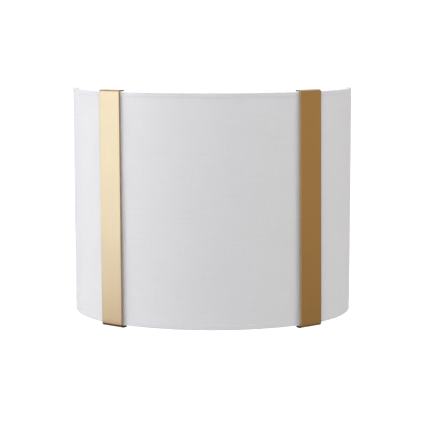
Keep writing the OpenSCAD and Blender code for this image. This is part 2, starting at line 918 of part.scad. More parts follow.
module upper_cap_nut() {
    translate([0, 0, stud_spacing / 2]) cap_nut();
}

module lower_cap_nut() {
    translate([0, 0, -stud_spacing / 2]) cap_nut();
}

shade_linen();
shade_liner();
top_tape();
bottom_tape();
left_edge_tape();
right_edge_tape();
top_ring();
bottom_ring();
left_post();
right_post();
hanger_bar();
steady_bar();
left_strap();
right_strap();
back_plate();
crossbar();
plate_studs();
stud_locknuts();
ground_screw();
hanger_screws();
hanger_nuts();
left_arm();
right_arm();
arm_collars();
arm_nuts();
left_holder_cap();
right_holder_cap();
left_holder_body();
right_holder_body();
left_holder_shell();
right_holder_shell();
left_holder_contact();
right_holder_contact();
live_leads();
neutral_leads();
ground_lead();
wire_connectors();
left_bulb_glass();
right_bulb_glass();
left_bulb_screw_cap();
right_bulb_screw_cap();
left_bulb_insulator();
right_bulb_insulator();
left_bulb_tip();
right_bulb_tip();
left_bulb_stem();
right_bulb_stem();
left_bulb_filament();
right_bulb_filament();
upper_cap_nut();
lower_cap_nut();
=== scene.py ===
"""Looks of a wall lamp: a half-oval linen shade with two brushed brass straps, and two bulbs inside it.

The wall is the plane y = 0, the lamp stands out along -Y, and Z is up. Sizes are in metres, as in the CAD.
"""

import math

import bpy
import numpy as np
from mathutils import Matrix


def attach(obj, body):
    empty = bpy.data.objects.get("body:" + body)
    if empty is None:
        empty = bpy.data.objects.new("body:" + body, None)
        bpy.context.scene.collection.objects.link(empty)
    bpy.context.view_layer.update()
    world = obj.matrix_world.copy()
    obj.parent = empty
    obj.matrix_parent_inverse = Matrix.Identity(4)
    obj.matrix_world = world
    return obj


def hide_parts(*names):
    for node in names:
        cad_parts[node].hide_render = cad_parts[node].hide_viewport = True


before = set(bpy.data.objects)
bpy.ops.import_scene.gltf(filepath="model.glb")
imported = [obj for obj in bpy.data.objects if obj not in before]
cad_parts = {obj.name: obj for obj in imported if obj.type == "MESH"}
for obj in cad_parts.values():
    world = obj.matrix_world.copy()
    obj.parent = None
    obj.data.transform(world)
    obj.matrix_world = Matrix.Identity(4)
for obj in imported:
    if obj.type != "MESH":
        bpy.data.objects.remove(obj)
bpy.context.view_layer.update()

MM = 0.001
MICRON = 0.001 * MM
TAU = 2 * math.pi

# Sizes of the shade, the same as in the CAD
SHADE_W = 300 * MM
SHADE_H = 241 * MM
SHADE_D = 122 * MM
SIDE_R = 112 * MM
WALL_GAP = 3 * MM
LINEN_T = 0.6 * MM
LINER_T = 1.0 * MM
TAPE_T = 0.3 * MM
HEM_H = 5 * MM
HEM_INSIDE_H = 9 * MM
HEM_EDGE_T = 0.08 * MM
HEM_PRESSED_H = 2.1 * MM
HEM_CREASE_DROP = 2.3 * MM
HEM_CREASE_DEPTH = 0.2 * MM
HEM_FOLD_R = 0.7 * MM
EDGE_TAPE_W = 9 * MM
WIRE_D = 3 * MM
SEAT = 0.05 * MM
SIDE_X = SHADE_W / 2 - SIDE_R
FRONT_Y = (SIDE_X**2 - (SHADE_D - SIDE_R) ** 2) / (2 * (SHADE_D - SIDE_R))
FRONT_R = SHADE_D + FRONT_Y
FRONT_TURN = math.atan2(SIDE_X, FRONT_Y)
WALL_T = LINEN_T + LINER_T
WALL_H = SHADE_H - 2 * TAPE_T
TAPE_INSET = WALL_T + WIRE_D + 2 * SEAT
SIDE_L = SIDE_R * (math.pi / 2 - FRONT_TURN)
FRONT_L = 2 * FRONT_R * FRONT_TURN
SHADE_L = 2 * SIDE_L + FRONT_L

# Sizes of the straps
STRAP_SPACING = 203 * MM
STRAP_W = 26 * MM
STRAP_T = 1.5 * MM
STRAP_BEND_R = 1.2 * MM
LOWER_BEND_R = 2.2 * MM
STRAP_GAP = 0.41 * MM
HOOK_L = 9 * MM
LOWER_HOOK_GAP = 1.1 * MM
STRAP_STAND = 1.2 * MM
LEFT_LEAN = math.radians(-0.4)
RIGHT_LEAN = math.radians(0.4)
ARRIS_R = 0.2 * MM
STRAP_GIRTH = 2 * (STRAP_W + STRAP_T) - (8 - TAU) * ARRIS_R

# Sizes of the back plate and the bulbs
PLATE_W = 120 * MM
PLATE_H = 200 * MM
PLATE_D = 20 * MM
PLATE_T = 1.2 * MM
PLATE_CORNER_R = 10 * MM
PLATE_EDGE_R = 2.5 * MM
PLATE_EASE = 0.1 * MM
BULB_X = 45 * MM
BULB_Y = -66 * MM


# Meshes

def grid_faces(rows, columns, round_rows=False, round_columns=False):
    """Quads between neighbours of a grid of rows x columns points, wrapping round where it is closed."""
    i = np.arange(rows if round_rows else rows - 1)[:, None]
    j = np.arange(columns if round_columns else columns - 1)[None, :]
    i2, j2 = (i + 1) % rows, (j + 1) % columns
    quads = np.stack([i * columns + j, i2 * columns + j, i2 * columns + j2, i * columns + j2], -1)
    return quads.reshape(-1, 4)


def new_piece(name, points, faces, body, material, replaced=(), uv=None, sharp=40):
    """A piece from an array of points and lists of faces, riding on a body. uv holds one pair per point."""
    mesh = bpy.data.meshes.new(name)
    mesh.from_pydata(np.asarray(points, float), [], [list(map(int, face)) for face in faces])
    mesh.validate()
    if uv is not None:
        corners = np.empty(len(mesh.loops), int)
        mesh.loops.foreach_get("vertex_index", corners)
        layer = mesh.uv_layers.new(name="cloth")
        layer.data.foreach_set("uv", np.asarray(uv, float)[corners].ravel())
    mesh.polygons.foreach_set("use_smooth", np.ones(len(mesh.polygons), bool))
    mesh.set_sharp_from_angle(angle=math.radians(sharp))
    piece = bpy.data.objects.new(name, mesh)
    bpy.context.scene.collection.objects.link(piece)
    mesh.materials.append(material)
    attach(piece, body)
    if replaced:
        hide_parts(*replaced)
    return piece


def rounded_outline(corners, steps=5):
    """Closed flat outline from (x, y, radius) corners: each corner is replaced by the arc of that radius
    that is tangent to both its sides."""
    corners = np.asarray(corners, float)
    out = []
    for k, (x, y, r) in enumerate(corners):
        here = np.array([x, y])
        if r == 0:
            out.append(here[None])
            continue
        back = corners[k - 1, :2] - here
        ahead = corners[(k + 1) % len(corners), :2] - here
        back, ahead = back / np.linalg.norm(back), ahead / np.linalg.norm(ahead)
        half = math.acos(np.clip(back @ ahead, -1, 1)) / 2
        middle = here + (back + ahead) / np.linalg.norm(back + ahead) * r / math.sin(half)
        start = here + back * r / math.tan(half) - middle
        end = here + ahead * r / math.tan(half) - middle
        sweep = math.pi - 2 * half
        t = np.linspace(0, 1, steps + 1)[:, None]
        out.append(middle + (np.sin(sweep * (1 - t)) * start + np.sin(sweep * t) * end) / math.sin(sweep))
    return np.concatenate(out)


def divided(outline, step):
    """The closed outline with each side longer than the step cut into equal lengths."""
    ahead = np.roll(outline, -1, axis=0)
    parts = np.maximum(1, np.ceil(np.linalg.norm(ahead - outline, axis=1) / step - 1e-9).astype(int))
    sides = zip(outline, ahead, parts)
    return np.concatenate([a + (b - a) * np.arange(n)[:, None] / n for a, b, n in sides])


def lengths_along(points):
    """Length along a row of points, from its first point to each of them."""
    return np.concatenate([[0], np.cumsum(np.linalg.norm(np.diff(points, axis=0), axis=1))])


def round_the_shade(s):
    """Centre, radius and outward direction of the linen's face at the length s from its left rear edge: two
    side arcs of radius SIDE_R, joined tangent by a front arc of radius FRONT_R."""
    left, right = s < SIDE_L, s > SIDE_L + FRONT_L
    turn = np.where(left, s / SIDE_R - math.pi / 2, np.where(
        right, (s - SIDE_L - FRONT_L) / SIDE_R + FRONT_TURN, (s - SIDE_L) / FRONT_R - FRONT_TURN))
    centre = np.stack([np.where(left, -SIDE_X, np.where(right, SIDE_X, 0)),
                       np.where(left | right, 0, FRONT_Y) - WALL_GAP], -1)
    radius = np.where(left | right, SIDE_R, FRONT_R)
    return centre, radius, np.stack([np.sin(turn), -np.cos(turn)], -1)


def carried_round(outline, s):
    """Points of a flat outline of (outwards, height) carried along the shade at the lengths s: at each
    length the point is the arc's centre plus the outward direction times radius plus outwards."""
    centre, radius, out = round_the_shade(s)
    reach = radius[:, None] + outline[None, :, 0]
    flat = centre[:, None, :] + out[:, None, :] * reach[..., None]
    height = np.broadcast_to(outline[None, :, 1], reach.shape)
    return np.concatenate([flat, height[..., None]], -1)


def closed_sweep(rings):
    """Points and faces of a tube through closed rings of equal length, with a flat cap on each end ring."""
    rows, columns = rings.shape[:2]
    faces = list(grid_faces(rows, columns, round_columns=True))
    last = (rows - 1) * columns
    faces += [list(range(columns))[::-1], list(range(last, last + columns))]
    return rings.reshape(-1, 3), faces


def outward(points, faces):
    """The same faces, turned over if the closed shape's volume comes out negative. The volume is a sixth of
    the sum of a . (b x c) over the triangles that fan out from each face's first corner."""
    triangles = np.array([(face[0], b, c) for face in faces for b, c in zip(face[1:], face[2:])])
    a, b, c = points[triangles].transpose(1, 0, 2)
    volume = np.sum(a * np.cross(b, c)) / 6
    return [list(face)[::-1] for face in faces] if volume < 0 else faces


def round_shade_piece(name, outline, body, material, replaced):
    """A closed outline of (outwards, height) carried round the shade. Its map is the length along the shade
    and the height, plus the depth where it folds over a rim."""
    s = np.linspace(0, SHADE_L, 301)
    points, faces = closed_sweep(carried_round(outline, s))
    over = outline[:, 1] + np.clip(-outline[:, 0], 0, TAPE_INSET) * np.sign(outline[:, 1])
    uv = np.stack(np.broadcast_arrays(s[:, None], over[None, :]), -1).reshape(-1, 2)
    return new_piece(name, points, outward(points, faces), body, material, replaced, uv)


# Shader nodes

class Socket:
    """A value in a tree of nodes: an expression on it adds the nodes that work it out."""

    def __init__(self, tree, link):
        self.tree, self.link = tree, link

    def output(self, name):
        """Another output of the node that this value comes from."""
        return Socket(self.tree, self.link.node.outputs[name])

    def _math(self, operation, *values):
        return self.tree.node("ShaderNodeMath", {"operation": operation}, dict(enumerate(values)))

    def __add__(self, other):
        return self._math("ADD", self, other)

    __radd__ = __add__

    def __sub__(self, other):
        return self._math("SUBTRACT", self, other)

    def __rsub__(self, other):
        return self._math("SUBTRACT", other, self)

    def __mul__(self, other):
        return self._math("MULTIPLY", self, other)

    __rmul__ = __mul__

    def sine(self):
        return self._math("SINE", self)

    def above(self, limit):
        """1 where the value is greater than the limit and 0 elsewhere."""
        return self._math("GREATER_THAN", self, limit)

    def near(self, middle, reach):
        """1 where the value lies within reach of the middle and 0 elsewhere."""
        return self._math("COMPARE", self, middle, reach)

    def clamp(self):
        return self.tree.node("ShaderNodeClamp", {}, {"Value": self})


class Nodes:
    """A tree of shader nodes, empty at first."""

    def __init__(self, tree):
        self.nodes, self.links = tree.nodes, tree.links
        self.nodes.clear()

    def node(self, kind, settings=None, inputs=None):
        """Adds a node: its settings first, then its sockets' values or links. Gives its first output."""
        made = self.nodes.new(kind)
        for key, value in (settings or {}).items():
            if key == "stops":
                ramp = made.color_ramp
                for k, (position, colour) in enumerate(value):
                    stop = ramp.elements[k] if k < 2 else ramp.elements.new(position)
                    stop.position, stop.color = position, colour
            else:
                setattr(made, key, value)
        for key, value in (inputs or {}).items():
            if isinstance(value, Socket):
                self.links.new(value.link, made.inputs[key])
            else:
                made.inputs[key].default_value = value
        return Socket(self, made.outputs[0]) if made.outputs else None

    def seen(self):
        """1 for a ray from the camera, also by way of a mirror or glass, and 0 for one that lights."""
        ray = self.node("ShaderNodeLightPath")
        return (ray.output("Is Camera Ray") + ray.output("Is Glossy Ray")
                + ray.output("Is Transmission Ray")).clamp()


class Finish(Nodes):
    """A material being built."""

    def __init__(self, name):
        self.material = bpy.data.materials.new(name)
        self.material.use_nodes = True
        super().__init__(self.material.node_tree)

    def coordinates(self, scale=(1, 1, 1), source="Object", shift=(0, 0, 0)):
        """The place in the lamp, or on the piece's own map, times the scale, plus the shift."""
        if source == "Object":
            place = self.node("ShaderNodeTexCoord").output("Object")
        else:
            place = self.node("ShaderNodeUVMap", {"uv_map": "cloth"})
        return self.node("ShaderNodeMapping", {}, {"Vector": place, "Scale": scale, "Location": shift})

    def along_and_up(self):
        """The two coordinates of the piece's own map."""
        split = self.node("ShaderNodeSeparateXYZ", {}, {"Vector": self.coordinates(source="map")})
        return split, split.output("Y")

    def noise(self, where, detail):
        return self.node("ShaderNodeTexNoise", {}, {
            "Vector": where, "Scale": 1.0, "Detail": detail, "Roughness": 0.5})

    def ramp(self, value, stops):
        return self.node("ShaderNodeValToRGB", {"stops": stops}, {"Fac": value})

    def mix(self, factor, a, b):
        """Colour a where factor is 0 and colour b where it is 1."""
        a, b = (colour if isinstance(colour, Socket) else (*colour, 1) for colour in (a, b))
        mixed = self.node("ShaderNodeMix", {"data_type": "RGBA"}, {0: factor, 6: a, 7: b})
        return Socket(self, mixed.link.node.outputs[2])

    def bump(self, height, distance, strength):
        return self.node("ShaderNodeBump", {}, {
            "Height": height, "Distance": distance, "Strength": strength})

    def finish(self, **values):
        """The principled shader with the given sockets, joined to the output."""
        names = {key.replace("_", " ").title().replace("Ior", "IOR"): value
                 for key, value in values.items()}
        return self.surface(self.node("ShaderNodeBsdfPrincipled", {}, names))

    def surface(self, shader):
        """The material with the given shader as its surface."""
        self.node("ShaderNodeOutputMaterial", {}, {"Surface": shader})
        return self.material


def linear(*srgb):
    """Linear colour of an 8 bit display colour."""
    c = np.asarray(srgb, float) / 255
    return tuple(float(v) for v in np.where(c <= 0.04045, c / 12.92, ((c + 0.055) / 1.055) ** 2.4))


def scaled(colour, share):
    """The colour times the share, each channel at most 1."""
    return tuple(min(1, v * share) for v in colour)


# Finishes. A pattern's scales are spots per metre: few along a thread or a brush line, many across it

def linen_finish(name, colour):
    """Plain weave of uneven threads: warp and weft ridges of one pitch cross, each thread's height and shade
    drifting along its length, with a few thick weft slubs."""
    f = Finish(name)
    along, up = f.along_and_up()
    weave = (along * (TAU / THREAD)).sine() * 0.5 + (up * (TAU / THREAD)).sine() * 0.5
    weft_drift = f.noise(f.coordinates((40, 1900, 1), "map"), 3)
    warp_drift = f.noise(f.coordinates((1900, 40, 1), "map", (3, 5, 0)), 3)
    slub = f.ramp(f.noise(f.coordinates((9, 520, 1), "map", (7, 2, 0)), 2),
                  [(0.60, (0, 0, 0, 1)), (0.72, (1, 1, 1, 1))])
    cloud = f.noise(f.coordinates((16, 16, 1), "map"), 3)
    shade = weft_drift * 0.29 + warp_drift * 0.23 + cloud * 0.09 + weave * 0.03 + slub * -0.05 + 0.195
    height = weave * 0.35 + weft_drift * 0.9 + warp_drift * 0.7 + slub * 0.5
    return f.finish(
        base_color=f.mix(shade.clamp(), scaled(colour, 0.80), scaled(colour, 1.20)),
        roughness=0.92,
        sheen_weight=0.08,
        sheen_roughness=0.5,
        specular_ior_level=0.25,
        normal=f.bump(height, 120 * MICRON, 0.5))


def inside_lower_hook(f):
    """1 on the inner face and the cut sides of a strap's lower hook and 0 elsewhere, from the strap's map:
    u goes round the strap from the middle of its inner face, v along it from the tip of its upper hook.
    These places get painted shade: they are darkened as if in the shadow under the shade's rim."""
    around, along = f.along_and_up()
    outer = around.near(STRAP_GIRTH / 2, STRAP_W / 2)
    return (1 - outer) * along.above(SHADE_H + HOOK_L)


def brushed_brass(name, colour, roughness, across, source="map", painted_shade=None):
    """Brass with fine brush lines along one direction: noise stretched along it moves colour, roughness and
    the surface's normal. The places given by the last argument are painted dark, as painted shade."""
    f = Finish(name)
    fine = f.noise(f.coordinates(tuple(9000 * v for v in across), source), 2)
    broad = f.noise(f.coordinates(tuple(900 * v for v in across), source, (2, 1, 4)), 3)
    cloud = f.noise(f.coordinates((30, 30, 30), "Object"), 2)
    shade = (fine * 0.35 + broad * 0.35 + cloud * 0.3).clamp()
    tone = f.mix(shade, scaled(colour, 0.86), scaled(colour, 1.12))
    if painted_shade is not None:
        # Painted shade: the given places are darkened to near black, in place of the shadow under the rim
        tone = f.mix(painted_shade(f), tone, PAINTED_HOOK_SHADE)
    return f.finish(
        base_color=tone,
        metallic=1.0,
        roughness=fine * 0.10 + broad * 0.08 + (roughness - 0.09),
        normal=f.bump(fine * 0.6 + broad * 0.4, 40 * MICRON, 0.5))


def painted(name, colour, roughness, grain, size, coat=0.0, spread=0.04, metallic=0.0):
    """Moulded or coated surface: a pebble grain, grain high and size spots to the metre, and slight clouding
    of its colour and roughness."""
    f = Finish(name)
    pebble = f.noise(f.coordinates((size, size, size)), 3)
    cloud = f.noise(f.coordinates((35, 35, 35)), 3)
    return f.finish(
        base_color=f.mix(cloud, scaled(colour, 1 - spread), scaled(colour, 1 + spread)),
        metallic=metallic,
        roughness=pebble * 0.08 + cloud * 0.08 + (roughness - 0.08),
        coat_weight=coat,
        normal=f.bump(pebble, grain, 0.4))


THREAD = 0.42 * MM
LINEN = linear(233, 232, 234)
HEM_TINT = (0.982, 0.982, 0.995)
BRASS = linear(214, 180, 129)
# Painted shade: the near black given to the lower hooks' inner face and cut sides, standing in for the
# shadow under the shade's bottom rim
PAINTED_HOOK_SHADE = linear(52, 38, 26)
linen = linen_finish("slub_linen", LINEN)
hem_linen = linen_finish("hem_linen", tuple(a * b for a, b in zip(LINEN, HEM_TINT)))
liner_white = painted("liner_white", linear(232, 232, 230), 0.6, 10 * MICRON, 500)
powder_white = painted("powder_white", linear(226, 226, 223), 0.5, 40 * MICRON, 1600)
# The strap brass carries painted shade on the inner face and cut sides of its lower hooks
strap_brass = brushed_brass("strap_brass", BRASS, 0.34, (1, 0.006, 1), painted_shade=inside_lower_hook)
plate_brass = brushed_brass("plate_brass", BRASS, 0.36, (1, 1, 0.01), "Object")
turned_brass = brushed_brass("turned_brass", BRASS, 0.3, (0.05, 0.05, 1), "Object")
contact_brass = painted("contact_brass", linear(214, 184, 118), 0.3, 10 * MICRON, 700, metallic=1.0)
zinc = painted("zinc_plate", linear(196, 198, 202), 0.38, 20 * MICRON, 1100, spread=0.08, metallic=1.0)
nickel = painted("rolled_nickel", linear(214, 212, 206), 0.28, 10 * MICRON, 900, metallic=1.0)
phenolic = painted("black_phenolic", linear(26, 25, 25), 0.42, 30 * MICRON, 1300, spread=0.2)
vitrite = painted("black_vitrite", linear(18, 18, 20), 0.15, 10 * MICRON, 600, spread=0.2)
black_lead = painted("black_lead", linear(24, 24, 25), 0.45, 10 * MICRON, 600, spread=0.15)
white_lead = painted("white_lead", linear(224, 223, 218), 0.45, 10 * MICRON, 600)
green_lead = painted("green_lead", linear(34, 104, 52), 0.45, 10 * MICRON, 600, spread=0.1)
green_screw = painted("green_screw", linear(40, 110, 60), 0.35, 10 * MICRON, 700, metallic=0.6, spread=0.1)
orange_plastic = painted("orange_plastic", linear(214, 104, 34), 0.32, 20 * MICRON, 900, spread=0.08)
frosted_glass = painted("frosted_glass", linear(238, 237, 231), 0.24, 5 * MICRON, 1500, coat=0.3,
                        spread=0.015)
stem_glass = painted("stem_glass", linear(225, 232, 230), 0.1, 5 * MICRON, 400)
phosphor = painted("phosphor", linear(232, 190, 84), 0.6, 20 * MICRON, 1800, spread=0.1)


# The shade

def wall_outline(near, far, shorter, step=2 * MM):
    """Upright wall between two depths behind the linen's face, cut into short lengths up its height. It ends
    a little short of the rims, under the tape's round edge."""
    h = WALL_H / 2 - shorter
    return divided(np.array([[-near, -h], [-near, h], [-far, h], [-far, -h]]), step)


linen_skin = round_shade_piece("linen_skin", wall_outline(0, LINEN_T, 0.3 * MM), "shade", linen,
                               ["shade_linen"])
round_shade_piece("stiff_liner", wall_outline(LINEN_T, WALL_T, 0, 6 * MM), "shade", liner_white,
                  ["shade_liner"])


def rim_tape_outline():
    """Folded tape over the top rim: down the outside, over the edge, and down the inside past the wire. Its
    outer edge is pressed thin, and a shallow crease runs along it."""
    top, inner = SHADE_H / 2, -TAPE_INSET
    low, low_inside = WALL_H / 2 - HEM_H, WALL_H / 2 - HEM_INSIDE_H
    crease = top - HEM_CREASE_DROP
    sharp, soft, lip = 0.02 * MM, 0.1 * MM, 0.3 * MM
    return divided(rounded_outline([
        (HEM_EDGE_T, low, sharp), (TAPE_T, low + HEM_PRESSED_H, 1 * MM),
        (TAPE_T, crease - 0.6 * MM, lip), (TAPE_T - HEM_CREASE_DEPTH, crease, soft),
        (TAPE_T, crease + 0.5 * MM, lip), (TAPE_T, top, HEM_FOLD_R),
        (inner - TAPE_T, top, HEM_FOLD_R), (inner - TAPE_T, low_inside, soft), (inner, low_inside, soft),
        (inner, top - TAPE_T, HEM_FOLD_R - TAPE_T), (0, top - TAPE_T, HEM_FOLD_R - TAPE_T),
        (0, low, sharp)]), 1.5 * MM)


top_outline = rim_tape_outline()
bottom_outline = top_outline * [1, -1]
round_shade_piece("top_hem", top_outline, "shade", hem_linen, ["top_tape"])
round_shade_piece("bottom_hem", bottom_outline, "shade", hem_linen, ["bottom_tape"])


# The straps

def strap_path():
    """Middle line of a strap's side view as (outwards, height) points: tip of the top hook, bend, face,
    bend, tip of the lower hook. Each bend is a quarter circle."""
    r, low_r = STRAP_BEND_R + STRAP_T / 2, LOWER_BEND_R + STRAP_T / 2
    face = TAPE_T + STRAP_GAP + STRAP_T / 2
    tip = face + STRAP_T / 2 - HOOK_L
    top = SHADE_H / 2 + STRAP_GAP + STRAP_T / 2
    bottom = -SHADE_H / 2 - LOWER_HOOK_GAP - STRAP_T / 2
    quarter = np.linspace(0, math.pi / 2, 15)
    upper = np.stack([face - r + r * np.sin(quarter), top - r + r * np.cos(quarter)], -1)
    lower = np.stack([face - low_r + low_r * np.cos(quarter), bottom + low_r - low_r * np.sin(quarter)], -1)
    hook = np.linspace(tip, face - r, 7)[:-1]
    low_hook = np.linspace(face - low_r, tip, 7)[1:]
    down = np.linspace(top - r, bottom + low_r, 60)[1:-1]
    return np.concatenate([
        np.stack([hook, np.full_like(hook, top)], -1), upper,
        np.stack([np.full_like(down, face), down], -1), lower,
        np.stack([low_hook, np.full_like(low_hook, bottom)], -1)])


def strap(side, lean):
    """A rounded rectangle carried along the strap's path, square to it, and shrunk over its first and last
    quarter circle so that the hooks' tips have the same small arris as the edges."""
    path = strap_path()
    ahead = np.gradient(path, axis=0)
    ahead /= np.linalg.norm(ahead, axis=1)[:, None]
    out = np.stack([-ahead[:, 1], ahead[:, 0]], -1)
    length = lengths_along(path)
    w, t = STRAP_W / 2, STRAP_T / 2
    section = rounded_outline([(-w, -t, ARRIS_R), (w, -t, ARRIS_R), (w, t, ARRIS_R), (-w, t, ARRIS_R)], 4)
    section = divided(section, 2 * MM)
    inner_middle = np.argmin(np.abs(section[:, 0]) + (section[:, 1] > 0))
    section = np.roll(section, -inner_middle, axis=0)
    quarter = np.linspace(0, math.pi / 2, 5)
    shrink, advance = ARRIS_R * (1 - np.sin(quarter)), ARRIS_R * (1 - np.cos(quarter))
    centre = np.concatenate([path[0] + ahead[0] * advance[:, None], path[1:-1],
                             path[-1] - ahead[-1] * advance[::-1, None]])
    along = np.concatenate([advance, length[1:-1], length[-1] - advance[::-1]])
    inset = np.concatenate([shrink, np.zeros(len(path) - 2), shrink[::-1]])[:, None]
    each = np.ones((len(shrink), 1))
    normal = np.concatenate([each * out[0], out[1:-1], each * out[-1]])
    across, through = section[None, :, 0], section[None, :, 1]
    x = np.sign(across) * (np.abs(across) - inset * (np.abs(across) > w / 2))
    y = np.sign(through) * (np.abs(through) - inset * (np.abs(through) > t / 2))
    flat = centre[:, None, :] + normal[:, None, :] * y[..., None]
    local = np.stack([x + 0 * flat[..., 0], -flat[..., 0], flat[..., 1]], -1)
    half = STRAP_SPACING / 2
    turn = side * math.asin((half - SIDE_X) / SIDE_R)
    place = (side * SIDE_X + SIDE_R * math.sin(turn), -WALL_GAP - SIDE_R * math.cos(turn), 0)
    top = Matrix.Translation((0, 0, SHADE_H / 2))
    move = (Matrix.Translation(place) @ Matrix.Rotation(turn, 4, "Z") @ Matrix.Rotation(-side * lean, 4, "Y")
            @ top @ Matrix.Rotation(-math.asin(STRAP_STAND / SHADE_H), 4, "X") @ top.inverted())
    points, faces = closed_sweep(local)
    points = points @ np.array(move.to_3x3()).T + np.array(move.translation)
    around = section[0, 0] + lengths_along(section)
    uv = np.stack(np.broadcast_arrays(around[None, :], along[:, None]), -1).reshape(-1, 2)
    return points, outward(points, faces), uv


for side, word, lean in ((-1, "left", LEFT_LEAN), (1, "right", RIGHT_LEAN)):
    points, faces, uv = strap(side, lean)
    new_piece(word + "_brass_strap", points, faces, "shade", strap_brass,
              [word + "_strap"], uv)


def edge_binding(side):
    """Tape folded over a rear edge: its plan goes along the outside, round behind the edge and back along
    the inside, and the same way back against the wall, and is carried straight up between the rim tapes."""
    s = np.linspace(SHADE_L - EDGE_TAPE_W, SHADE_L, 13)
    centre, radius, out = round_the_shade(s)

    def leg(outwards):
        return centre + out * (radius + outwards)[:, None]

    behind, corner = np.array([0, TAPE_T]), np.array([0.15 * MM, 0])
    outer, inner = leg(TAPE_T), leg(-WALL_T - TAPE_T)
    plan = np.concatenate([
        outer, outer[-1:] + behind * 0.6, outer[-1:] + behind - corner,
        inner[-1:] + behind + corner, inner[-1:] + behind * 0.6, inner[::-1],
        leg(-WALL_T), leg(0)[::-1]])
    half = WALL_H / 2 - HEM_INSIDE_H - SEAT
    z = np.linspace(-half, half, 91)
    flat = np.broadcast_to(plan[None] * [side, 1], (len(z), *plan.shape))
    rings = np.concatenate([flat, np.broadcast_to(z[:, None, None], (len(z), len(plan), 1))], -1)
    around = lengths_along(plan)
    points, faces = closed_sweep(rings)
    uv = np.stack(np.broadcast_arrays(around[None, :], z[:, None]), -1).reshape(-1, 2)
    return points, outward(points, faces), uv


for side, word in ((-1, "left"), (1, "right")):
    points, faces, uv = edge_binding(side)
    new_piece(word + "_edge_binding", points, faces, "shade", hem_linen,
              [word + "_edge_tape"], uv)


# The back plate, the lampholders and the bulbs

def pan():
    """Rounded rectangles one after another: from the front face over its rounded edge and back along the
    outside to the wall, then forward along the inside to the back of the face, with a cap at each end."""
    quarter = np.linspace(math.pi / 2, 0, 8)
    inner_r, face_inset = PLATE_EDGE_R - PLATE_T, PLATE_EDGE_R + 1 * MM
    rows = [(face_inset, PLATE_D)]
    rows += [(PLATE_EDGE_R * (1 - math.cos(a)), PLATE_D - PLATE_EDGE_R * (1 - math.sin(a))) for a in quarter]
    rows += [(0, 2 * PLATE_EASE), (PLATE_EASE, 0), (PLATE_T - PLATE_EASE, 0), (PLATE_T, 2 * PLATE_EASE)]
    rows += [(PLATE_T + inner_r * (1 - math.cos(a)), PLATE_D - PLATE_T - inner_r * (1 - math.sin(a)))
             for a in quarter[::-1]]
    rows += [(face_inset, PLATE_D - PLATE_T)]
    inset, depth = np.array(rows).T
    turn = np.linspace(0, math.pi / 2, 10)
    turns = np.concatenate([turn + k * math.pi / 2 for k in range(4)])
    sx = np.repeat([1, -1, -1, 1], len(turn)) * (PLATE_W / 2 - PLATE_CORNER_R)
    sz = np.repeat([1, 1, -1, -1], len(turn)) * (PLATE_H / 2 - PLATE_CORNER_R)
    reach = (PLATE_CORNER_R - inset)[:, None]
    x = sx + reach * np.cos(turns)
    z = sz + reach * np.sin(turns)
    y = np.broadcast_to(-depth[:, None], x.shape)
    points, faces = closed_sweep(np.stack([x, y, z], -1))
    return points, outward(points, faces)


points, faces = pan()
new_piece("plate_pan", points, faces, "fixture", plate_brass, ["back_plate"], sharp=50)


def turned(profile, centre, steps):
    """A (radius, height) profile turned about an upright axis, from pole to pole."""
    profile = np.asarray(profile, float)
    ring = profile[profile[:, 0] > 1e-7]
    angle = np.arange(steps) * TAU / steps
    x = centre[0] + ring[:, :1] * np.cos(angle)
    y = centre[1] + ring[:, :1] * np.sin(angle)
    z = np.broadcast_to(ring[:, 1:], x.shape)
    points = np.stack([x, y, z], -1).reshape(-1, 3)
    faces = [list(face) for face in grid_faces(len(ring), steps, round_columns=True)]
    last = (len(ring) - 1) * steps
    poles = np.array([[*centre, profile[0, 1]], [*centre, profile[-1, 1]]])
    first_pole, last_pole = len(points), len(points) + 1
    around = np.arange(steps)
    faces += [[first_pole, (k + 1) % steps, k] for k in around]
    faces += [[last_pole, last + k, last + (k + 1) % steps] for k in around]
    points = np.concatenate([points, poles])
    return points, outward(points, faces)


def arc_points(centre, radius, start, end, steps):
    """Points of an arc of (radius, height) about a centre, between two angles in degrees."""
    a = np.radians(np.linspace(start, end, steps))
    return [(centre[0] + radius * math.cos(v), centre[1] + radius * math.sin(v)) for v in a]


BALL_R = 30 * MM
BALL_Z = 42.8 * MM
CAP_TOP_Z = -7.2 * MM
GLASS_FOOT_R = 0.6 * MM
NECK_R = 12 * MM
NECK_BEND_R = 38 * MM
BEND_X = NECK_R + NECK_BEND_R
BEND_Z = BALL_Z - math.sqrt((BALL_R + NECK_BEND_R) ** 2 - BEND_X**2)
MEET = math.degrees(math.atan2(BALL_Z - BEND_Z, -BEND_X))
bulb_profile = (
    [(0, CAP_TOP_Z)]
    + arc_points((NECK_R - GLASS_FOOT_R, CAP_TOP_Z + GLASS_FOOT_R), GLASS_FOOT_R, -90, 0, 5)
    + arc_points((BEND_X, BEND_Z), NECK_BEND_R, 180, MEET, 22)
    + arc_points((0, BALL_Z), BALL_R, MEET - 180, 90, 48)[1:-1] + [(0, BALL_Z + BALL_R)])

HOLDER_LOW = -49 * MM
BODY_LOW = -37 * MM
BODY_TOP = -5 * MM
HOLDER_R = 17.5 * MM
LIP_R = 19 * MM
MOUTH_R = 14 * MM
FLOOR_Z = -34.5 * MM
STEM_HOLE_R = 5.05 * MM
LIP_EDGE_R = 1.2 * MM
SMALL_EDGE_R = 0.8 * MM
CHAMFER = 0.5 * MM
CAP_EDGE_R = 4 * MM
GROOVE_DEPTH = 0.5 * MM


def grooved(radius, low, high, count, depth):
    """Side of a turned piece with round grooves across it, as (radius, height) points from low to high."""
    z = np.linspace(low, high, count * 12 + 1)
    wave = 0.5 - 0.5 * np.cos(TAU * count * (z - low) / (high - low))
    return [(radius - depth * w**3, v) for v, w in zip(z, wave)]


